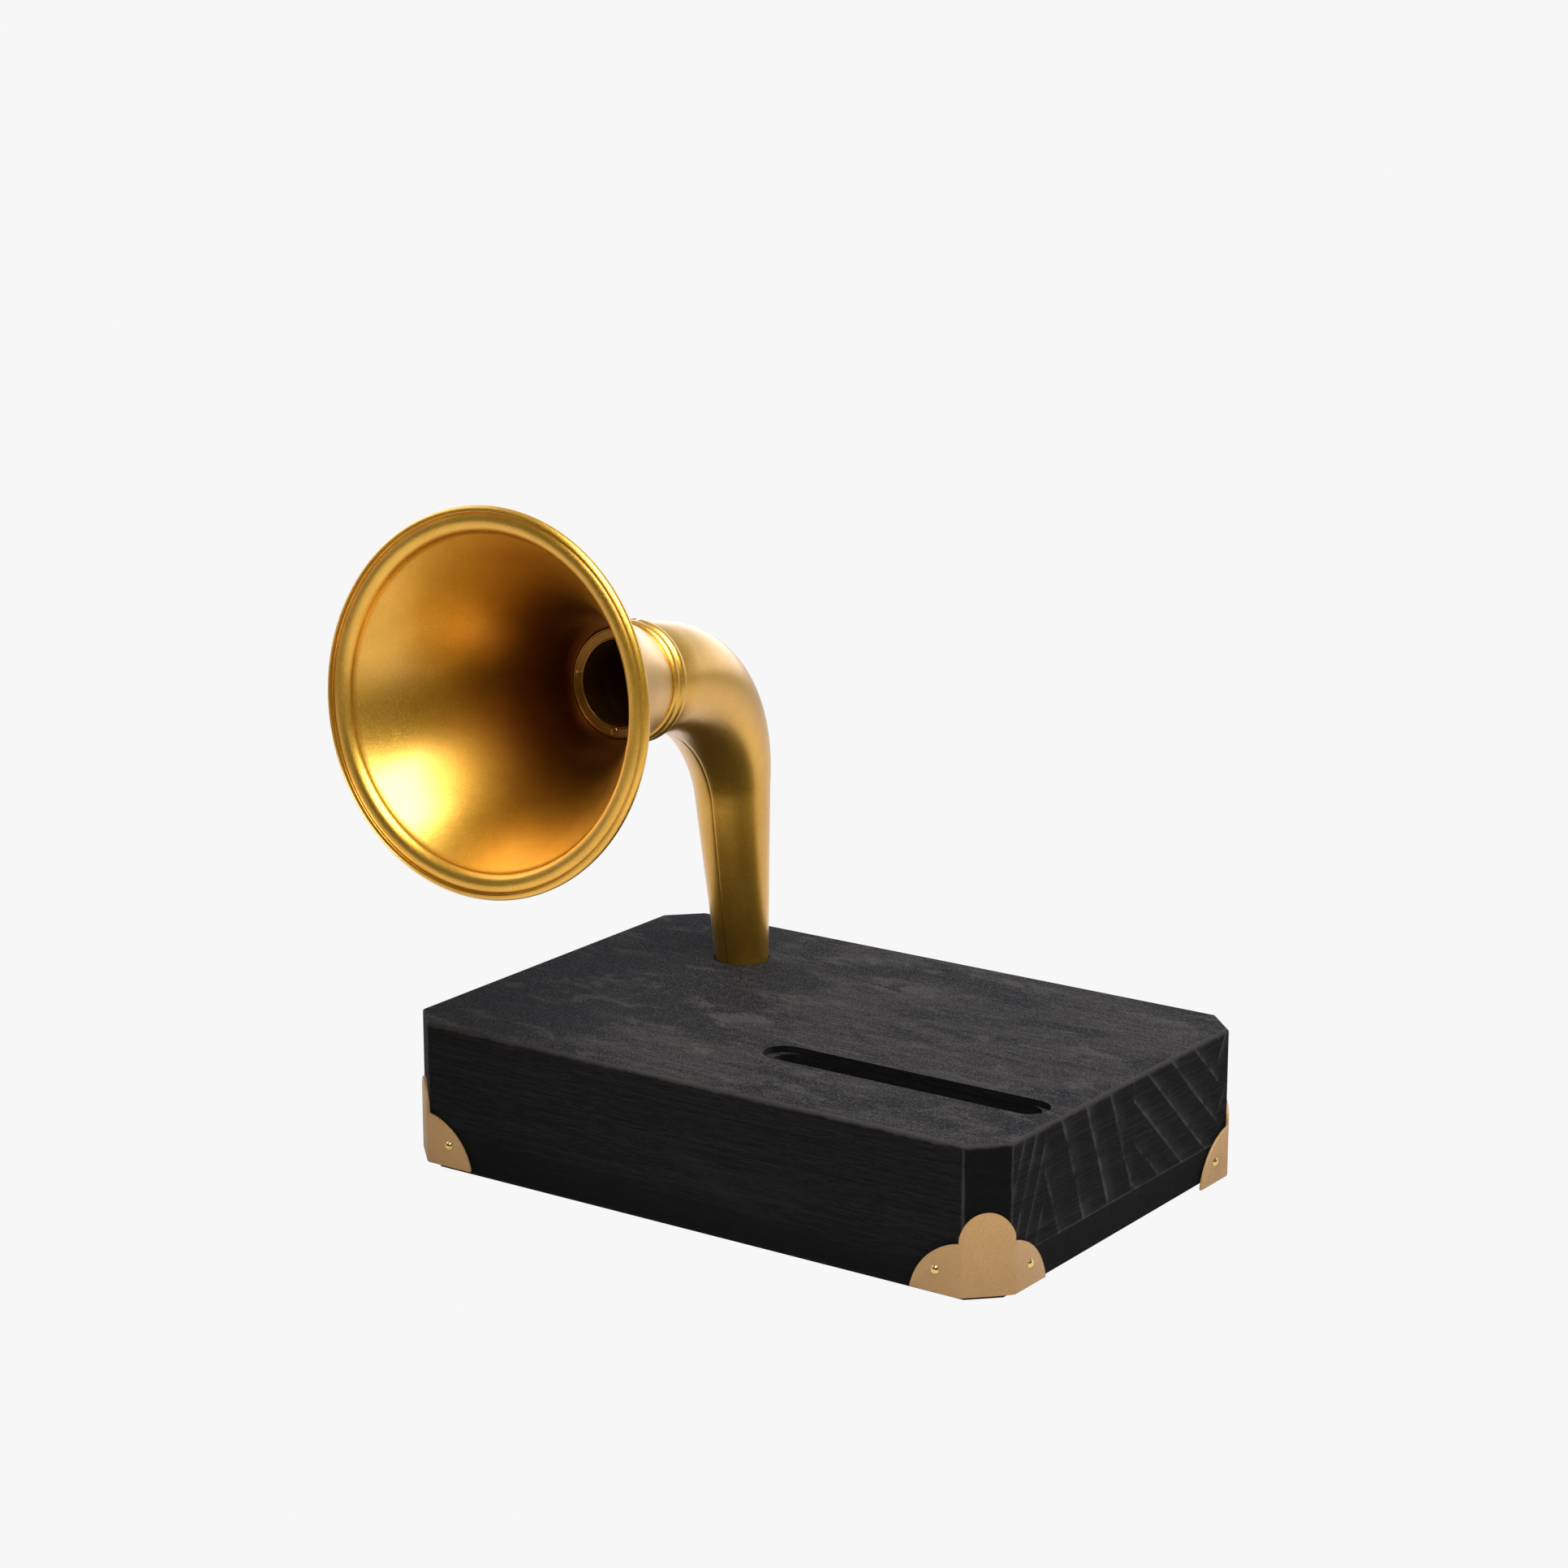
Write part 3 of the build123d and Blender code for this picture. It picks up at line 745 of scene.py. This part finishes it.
def painted_throat_shade(mat):
    """Painted shade mask: 1 by the throat on the faces that look out of the bell, fading to 0 up
    the flare.
    """
    place_of_bell = bell_frame()
    axis = place_of_bell.to_3x3() @ Vector((0, 0, 1))
    position, facing = mat.coords.outputs["Object"], mat.coords.outputs["Normal"]
    distance = mat.vector("DISTANCE", position, place_of_bell @ Vector((0, 0, 8 * MM)))
    forward = mat.sum("SUBTRACT", mat.vector("DOT_PRODUCT", position, axis),
                      axis.dot(place_of_bell.translation))
    # half as strong on the throat ring, and none on the collar behind it
    inside = mat.sum("MULTIPLY", mat.fit(forward, 6.5 * MM, 6.9 * MM),
                     mat.fit(forward, 9.0 * MM, 10.0 * MM, 0.5, 1))
    outlook = mat.fit(mat.vector("DOT_PRODUCT", facing, axis), 0.02, 0.2)
    near = mat.fit(distance, 17 * MM, 52 * MM, 1, 0)
    return mat.sum("MULTIPLY", mat.sum("MULTIPLY", near, outlook), inside)


def gold_paint(finishes):
    """Satin metallic paint, fine flake and pebble, thinner in random clouds, with painted shade
    darkening the bell's inside towards the throat.
    """
    mat = Mat("satin_gold_paint")
    flake = mat.noise(mat.stretched((1, 1, 1)), 9.0, 2.0, 0.6)
    cloud = mat.noise(mat.stretched((1, 1, 1)), 0.05, 3.0, 0.5)
    thin = mat.fit(cloud, 0.35, 0.65)
    base = mat.blend(thin, shade(finishes.gold), shade(finishes.gold_worn))
    lighter = tuple(min(1, value * 1.35) for value in finishes.gold)
    base = mat.blend(mat.fit(flake, 0.55, 0.8, 0, 0.55), base, lighter)
    pebble = mat.noise(mat.stretched((1, 1, 1)), 2.2, 3.0, 0.6)
    base = mat.blend(mat.fit(pebble, 0.5, 0.72, 0, 0.5), base, lighter)
    # painted shade: the bell's inside turns dark brown towards the throat
    base = mat.blend(painted_throat_shade(mat), base, (0.235, 0.080, 0.004))
    normal = mat.bump(flake, 0.012 * MM, 0.6)
    normal = mat.bump(pebble, 0.05 * MM, 0.6, normal)
    mat.set(Base_Color=base, Metallic=0.94, Normal=normal)
    mat.set(Roughness=mat.fit(pebble, 0.3, 0.75, 0.31, 0.40), Specular_IOR_Level=0.6)
    mat.set(Coat_Weight=0.65, Coat_Roughness=0.26, Coat_IOR=1.6)
    return mat.material


def growth_rings(mat, across, height, stave):
    """Light latewood lines of one stave: sharp on one side and fading on the other."""
    lean, offset, pitch = stave
    slanted = mat.sum("MULTIPLY_ADD", height, lean, across)
    wobble = mat.noise(mat.stretched((0.004, 0.03, 0.03)), 1.0, 3.0, 0.55)
    shifted = mat.sum("MULTIPLY_ADD", wobble, 2.2, slanted)
    return mat.sum("FRACT", mat.sum("DIVIDE", mat.sum("SUBTRACT", shifted, offset), pitch))


def ring_lines(mat, staves, across, height):
    """The sharp line and the long fading tail of every growth ring on the block's ends."""
    lines = 0.0
    tails = 0.0
    for start, end, *stave in staves:
        inside = mat.sum("MULTIPLY", mat.fit(across, start - 0.3, start + 0.3),
                         mat.fit(across, end - 0.3, end + 0.3, 1, 0))
        phase = growth_rings(mat, across, height, stave)
        edge = mat.fit(phase, 0.0, 0.05)
        line = mat.sum("MULTIPLY", edge, mat.fit(phase, 0.06, 0.17, 1, 0))
        tail = mat.sum("MULTIPLY", edge, mat.fit(phase, 0.05, 0.6, 1, 0))
        lines = mat.sum("MULTIPLY_ADD", line, inside, lines)
        tails = mat.sum("MULTIPLY_ADD", tail, inside, tails)
    return lines, tails


def worn_edges(mat, along, across, height, broken):
    """1 on the block's top and upright edges, ragged, fading within about a millimetre."""
    from_end = mat.sum("SUBTRACT", block_high.x / MM, mat.sum("ABSOLUTE", along))
    from_side = mat.sum("SUBTRACT", block_high.y / MM, mat.sum("ABSOLUTE", across))
    from_top = mat.sum("SUBTRACT", block_high.z / MM, height)
    from_cut = mat.sum("SUBTRACT", mat.sum("ADD", from_end, from_side), CORNER_CUT)
    cut_distance = mat.sum("ABSOLUTE", from_cut)
    outline = mat.sum("SMOOTH_MIN", mat.sum("SMOOTH_MIN", from_end, from_side, 0.1),
                      cut_distance, 0.1)
    top_edge = mat.sum("MAXIMUM", mat.sum("ABSOLUTE", outline), from_top)
    upright = mat.sum("MAXIMUM", mat.sum("MINIMUM", from_end, from_side), cut_distance)
    on_edge = mat.sum("MINIMUM", top_edge, mat.sum("MULTIPLY_ADD", upright, 1.6, 0.55))
    ragged = mat.sum("MULTIPLY_ADD", broken, 2.2, -0.9)
    return mat.fit(mat.sum("SUBTRACT", on_edge, ragged), 0.3, 1.2, 0.75, 0)


def stained_wood(finishes, name, staves, plain):
    """Black-stained softwood: streaks along X, growth rings across the ends, dusty top."""
    mat = Mat(name)
    along, across, height = mat.split(mat.stretched((1, 1, 1)))
    facing = mat.split(mat.coords.outputs["Normal"])
    facing_end = mat.sum("ABSOLUTE", facing[0])
    up_face = mat.fit(facing[2], 0.5, 0.9)
    end_face = mat.fit(facing_end, 0.5, 0.9)

    short = mat.noise(mat.stretched((0.2, 3.2, 3.2)), 1.0, 6.0, 0.8)
    long = mat.noise(mat.stretched((0.022, 1.1, 1.1)), 1.0, 5.0, 0.65)
    fine = mat.sum("ADD", mat.sum("MULTIPLY", short, 0.68), mat.sum("MULTIPLY", long, 0.32))
    broad = mat.noise(mat.stretched((0.008, 0.16, 0.16)), 1.0, 4.0, 0.6, 0.3)
    patches = mat.noise(mat.stretched((0.02, 0.045, 0.045)), 1.0, 8.0, 0.68, 0.4)
    rubbed = mat.noise(mat.stretched((0.05, 0.11, 0.11), (3, 7, 0)), 1.0, 7.0, 0.7, 0.5)
    broken = mat.noise(mat.stretched((0.3, 0.09, 0.09)), 1.0, 5.0, 0.7)
    saw = mat.noise(mat.stretched((0.25, 0.05, 2.6), turn=(0.06, 0, 0)), 1.0, 4.0, 0.7)
    dust = mat.noise(mat.stretched((1, 1, 1)), 1.9, 3.0, 0.8)

    side = mat.blend(mat.fit(fine, 0.44, 0.62), shade(finishes.stain, 0.75),
                     shade(finishes.stain, 2.2))
    side = mat.blend(mat.fit(dust, 0.57, 0.70, 0, 0.5), side, shade(finishes.stain, 4.5))
    side = mat.blend(mat.fit(patches, 0.52, 0.72, 0, 0.45), side, shade(finishes.stain, 3.4))
    foot = board_low.z / MM
    side = mat.blend(mat.fit(height, foot + 4, foot + 14, 0.8, 0), side,
                     shade(finishes.stain, 0.45))

    # darker in patches and towards the left end
    darker_to_the_left = mat.sum("MULTIPLY_ADD", mat.fit(along, -90, -15, 1, 0, False), 0.14, patches)
    top = mat.blend(mat.fit(broad, 0.35, 0.6), shade(finishes.stain_top, 0.5),
                    shade(finishes.stain_top))
    top = mat.blend(mat.fit(fine, 0.48, 0.60, 0, 0.8), top, shade(finishes.stain_top, 2.6))
    top = mat.blend(mat.fit(darker_to_the_left, 0.47, 0.58, 0, 0.95), top, shade(finishes.stain))
    top = mat.blend(mat.fit(rubbed, 0.53, 0.64, 0, 0.75), top, shade(finishes.stain_top, 2.6))
    top = mat.blend(mat.fit(dust, 0.54, 0.62, 0, 0.85), top, shade(finishes.stain_top, 4.2))
    top = mat.blend(mat.fit(dust, 0.38, 0.46, 0.9, 0), top, shade(finishes.stain))

    lines, tails = ring_lines(mat, staves, across, height)
    lines = mat.sum("MULTIPLY", lines, mat.fit(broken, 0.36, 0.62))
    square = mat.fit(facing_end, 0.8, 0.97, 0.04, 0.6)
    ends = mat.blend(mat.fit(saw, 0.45, 0.68, 0, 0.6), shade(finishes.stain, 0.4),
                     shade(finishes.stain, 3.6))
    ends = mat.blend(mat.fit(dust, 0.56, 0.70, 0, 0.5), ends, shade(finishes.stain, 6.0))
    ends = mat.blend(mat.sum("MULTIPLY", mat.sum("MULTIPLY", tails, square),
                             mat.fit(broken, 0.35, 0.65, 0.1, 1.1)), ends,
                     shade(finishes.ring, 0.42))
    ends = mat.blend(mat.sum("MULTIPLY", lines, square), ends, shade(finishes.ring))
    joint = mat.fit(mat.sum("SUBTRACT", height, block_low.z / MM), 0.25, 0.6, 0.55, 0)
    ends = mat.blend(mat.sum("MULTIPLY", joint, mat.fit(broken, 0.3, 0.6)), ends,
                     shade(finishes.ring))

    base = mat.blend(end_face, side, side if plain else ends)
    # painted shade: faces that look out diagonally, the cut corners behind the guards, are painted
    # near-black
    shaded_cut_corner = mat.sum("MULTIPLY", facing_end, mat.sum("ABSOLUTE", facing[1]))
    base = mat.blend(mat.fit(shaded_cut_corner, 0.3, 0.45, 0, 0.75), base, shade(finishes.stain, 0.3))
    base = mat.blend(up_face, base, top)
    if not plain:
        worn = worn_edges(mat, along, across, height, broken)
        base = mat.blend(worn, base, shade(finishes.stain_top, 2.2))

    grain = mat.bump(fine, 0.12 * MM, 0.55)
    grain = mat.bump(dust, 0.05 * MM, 0.5, grain)
    grain = mat.bump(mat.sum("MULTIPLY", saw, end_face), 0.12 * MM, 0.5, grain)
    mat.set(Base_Color=base, Normal=grain, Roughness=mat.fit(fine, 0.3, 0.7, 0.95, 0.8),
            Specular_IOR_Level=0.08)
    return mat.material


def kraft_sheet(finishes):
    """Matt pale gold sheet with a fine speckle and darker rubbed patches."""
    mat = Mat("matt_gold_sheet")
    speckle = mat.noise(mat.stretched((1, 1, 1)), 3.2, 3.0, 0.7)
    rubbed = mat.noise(mat.stretched((1, 1, 1)), 0.16, 5.0, 0.65)
    base = mat.blend(mat.fit(speckle, 0.4, 0.7), shade(finishes.sheet),
                     shade(finishes.sheet, 0.74))
    base = mat.blend(mat.fit(rubbed, 0.55, 0.8, 0, 0.5), base, (0.26, 0.125, 0.045))
    normal = mat.bump(speckle, 0.03 * MM, 0.5)
    mat.set(Base_Color=base, Metallic=0.25, Normal=normal,
            Roughness=mat.fit(rubbed, 0.3, 0.7, 0.5, 0.62))
    return mat.material


def nail_brass(finishes):
    """Polished brass, a little tarnished."""
    mat = Mat("nail_brass")
    tarnish = mat.noise(mat.stretched((1, 1, 1)), 1.2, 4.0, 0.6)
    base = mat.blend(mat.fit(tarnish, 0.45, 0.75, 0, 0.6), shade(finishes.nail),
                     (0.35, 0.22, 0.06))
    mat.set(Base_Color=base, Metallic=1.0, Roughness=mat.fit(tarnish, 0.3, 0.7, 0.16, 0.34))
    return mat.material


def dark_felt(finishes):
    """Short dark felt."""
    mat = Mat("dark_felt")
    hairs = mat.noise(mat.stretched((1, 1, 1)), 3.0, 5.0, 0.75, 0.6)
    base = mat.blend(mat.fit(hairs, 0.35, 0.7), shade(finishes.felt),
                     shade(finishes.felt, 2.2))
    mat.set(Base_Color=base, Roughness=0.95, Normal=mat.bump(hairs, 0.3 * MM, 0.8),
            Sheen_Weight=0.4)
    return mat.material


def dress(node, material):
    """Gives a carried-over node its finish."""
    body = frame["nodes"][node]
    body.data.materials.clear()
    body.data.materials.append(material)


# ---- operators ----------------------------------------------------------------------------

def finish_for(name, maker, *extra):
    """A material made once and shared."""
    found = bpy.data.materials.get(name)
    return found or maker(bpy.context.scene.amp_finishes, *extra)


class AMP_OT_elbow(bpy.types.Operator):
    """Build the elbow's two half shells"""
    bl_idname = "amp.elbow"
    bl_label = "Elbow shells"

    def execute(self, context):
        sizes = context.scene.amp_elbow
        gold = finish_for("satin_gold_paint", gold_paint)
        build_elbow_shell(sizes, 1, "elbow_left_shell_skin", gold, sizes.step)
        build_elbow_shell(sizes, -1, "elbow_right_shell_skin", gold, 0.0)
        return {"FINISHED"}


class AMP_OT_bell(bpy.types.Operator):
    """Build the bell with its rolled rim"""
    bl_idname = "amp.bell"
    bl_label = "Bell"

    def execute(self, context):
        build_bell(context.scene.amp_bell, finish_for("satin_gold_paint", gold_paint))
        return {"FINISHED"}


class AMP_OT_rings(bpy.types.Operator):
    """Build the collar ring and the throat ring"""
    bl_idname = "amp.rings"
    bl_label = "Rings"

    def execute(self, context):
        gold = finish_for("satin_gold_paint", gold_paint)
        build_throat_ring(context.scene.amp_rings, gold)
        build_collar_ring(context.scene.amp_rings, gold)
        return {"FINISHED"}


class AMP_OT_guards(bpy.types.Operator):
    """Bend and place the four corner guards"""
    bl_idname = "amp.guards"
    bl_label = "Corner guards"

    def execute(self, context):
        sheet = finish_for("matt_gold_sheet", kraft_sheet)
        corners = ("front_right", "back_right", "back_left", "front_left")
        for quarter, corner in enumerate(corners):
            build_guard(context.scene.amp_guards, quarter, "corner_guard_" + corner, sheet)
        return {"FINISHED"}


class AMP_OT_nails(bpy.types.Operator):
    """Drive the nails"""
    bl_idname = "amp.nails"
    bl_label = "Nails"

    def execute(self, context):
        brass = finish_for("nail_brass", nail_brass)
        nails = sorted(node for node in frame["nodes"] if node.startswith("nail_"))
        for seed, node in enumerate(nails):
            build_nail(context.scene.amp_guards, node, seed, brass)
        return {"FINISHED"}


class AMP_OT_block(bpy.types.Operator):
    """Stain the block and its board and lay the felt"""
    bl_idname = "amp.block"
    bl_label = "Block"

    def execute(self, context):
        finishes = context.scene.amp_finishes
        dress("top_block", stained_wood(finishes, "stained_block", STAVES, False))
        dress("base_board", stained_wood(finishes, "stained_board", STAVES[:1], True))
        dress("felt_base", dark_felt(finishes))
        return {"FINISHED"}


class AMP_OT_stage(bpy.types.Operator):
    """Set up the floor, the lamps and the camera"""
    bl_idname = "amp.stage"
    bl_label = "Stage"

    def execute(self, context):
        stage = context.scene.amp_stage
        make_floor(stage)
        make_lamps()
        make_world()
        make_camera(stage)
        return {"FINISHED"}


def make_floor(stage):
    mesh = bmesh.new()
    bmesh.ops.create_circle(mesh, cap_ends=True, segments=64, radius=14.0,
                            matrix=Matrix.Translation((0, 0, -0.05 * MM)))
    data = bpy.data.meshes.new("floor")
    mesh.to_mesh(data)
    mesh.free()
    floor = bpy.data.objects.new("floor", data)
    bpy.context.scene.collection.objects.link(floor)
    mat = Mat("pale_floor")
    mat.set(Base_Color=(0.58, 0.54, 0.48, 1), Roughness=0.9, Emission_Color=(1, 1, 1, 1),
            Emission_Strength=0.05)
    pale = mat.add("ShaderNodeEmission")
    pale.inputs["Color"].default_value = (*stage.floor, 1)
    seen = mat.add("ShaderNodeLightPath")
    mix = mat.add("ShaderNodeMixShader")
    mat.join(seen.outputs["Is Camera Ray"], mix.inputs["Fac"])
    mat.join(mat.shader.outputs["BSDF"], mix.inputs[1])
    mat.join(pale.outputs["Emission"], mix.inputs[2])
    mat.join(mix.outputs["Shader"], mat.output.inputs["Surface"])
    data.materials.append(mat.material)


def make_lamps():
    middle = (cad_low + cad_high) / 2
    for name, (where, width, power, tint) in LAMPS.items():
        data = bpy.data.lights.new(name, "AREA")
        data.shape = "ELLIPSE"
        data.size = data.size_y = width
        data.energy = power
        data.color = tint
        holder = bpy.data.objects.new(name, data)
        holder.location = where
        holder.rotation_euler = (middle - Vector(where)).to_track_quat("-Z", "Y").to_euler()
        holder.visible_camera = False
        bpy.context.scene.collection.objects.link(holder)


def make_world():
    """Dim and warm on one side, bright and cool on the other, brightest near the horizon."""
    world = bpy.data.worlds.new("studio")
    bpy.context.scene.world = world
    world.use_nodes = True
    nodes = Nodes(world.node_tree)
    direction = nodes.add("ShaderNodeTexCoord").outputs["Generated"]
    side = nodes.sum("MULTIPLY_ADD", nodes.vector("DOT_PRODUCT", direction, BRIGHT_SIDE), 0.5, 0.5)
    level = nodes.ramp(side, [(place, (value, value, value, 1)) for place, value in SURROUNDINGS])
    upward = nodes.split(direction)[2]
    level = nodes.sum("MULTIPLY", level, nodes.fit(upward, 0.15, 0.5, 2.6, 0.9, False))
    seen = nodes.add("ShaderNodeLightPath").outputs["Is Camera Ray"]
    level = nodes.blend(seen, level, (PALE, PALE, PALE))
    sky = nodes.add("ShaderNodeBackground")
    nodes.join(level, sky.inputs["Strength"])
    nodes.join(nodes.blend(seen, nodes.ramp(side, TINTS), (1, 1, 1)), sky.inputs["Color"])
    out = nodes.add("ShaderNodeOutputWorld")
    nodes.join(sky.outputs["Background"], out.inputs["Surface"])


def make_camera(stage):
    data = bpy.data.cameras.new("camera")
    data.lens = stage.lens
    data.sensor_width = 36.0
    data.clip_start, data.clip_end = 0.02, 60
    camera = bpy.data.objects.new("camera", data)
    camera.location = CAMERA + Vector((0, 0, board_low.z))
    camera.rotation_euler = (math.pi / 2 - stage.elevation, 0, stage.azimuth)
    bpy.context.scene.collection.objects.link(camera)
    bpy.context.scene.camera = camera


OPERATORS = (AMP_OT_elbow, AMP_OT_bell, AMP_OT_rings, AMP_OT_guards, AMP_OT_nails, AMP_OT_block,
             AMP_OT_stage)


class AMP_PT_panel(bpy.types.Panel):
    """Lists the pieces and their sizes"""
    bl_idname = "AMP_PT_panel"
    bl_label = "Horn amplifier"
    bl_space_type = "VIEW_3D"
    bl_region_type = "UI"
    bl_category = "Horn amplifier"

    def draw(self, context):
        for operator in OPERATORS:
            self.layout.operator(operator.bl_idname)
        for name, group in GROUPS.items():
            box = self.layout.box()
            box.label(text=group.__doc__)
            for prop in group.__annotations__:
                box.prop(getattr(context.scene, name), prop)


CLASSES = (*GROUPS.values(), *OPERATORS, AMP_PT_panel)


def register():
    for item in CLASSES:
        bpy.utils.register_class(item)
    for name, group in GROUPS.items():
        setattr(bpy.types.Scene, name, PointerProperty(type=group))


def unregister():
    for name in GROUPS:
        delattr(bpy.types.Scene, name)
    for item in reversed(CLASSES):
        bpy.utils.unregister_class(item)


def main():
    register()
    for operator in OPERATORS:
        group, name = operator.bl_idname.split(".")
        getattr(getattr(bpy.ops, group), name)()
    bpy.context.scene.view_settings.view_transform = "Standard"


if __name__ == "__main__":
    main()
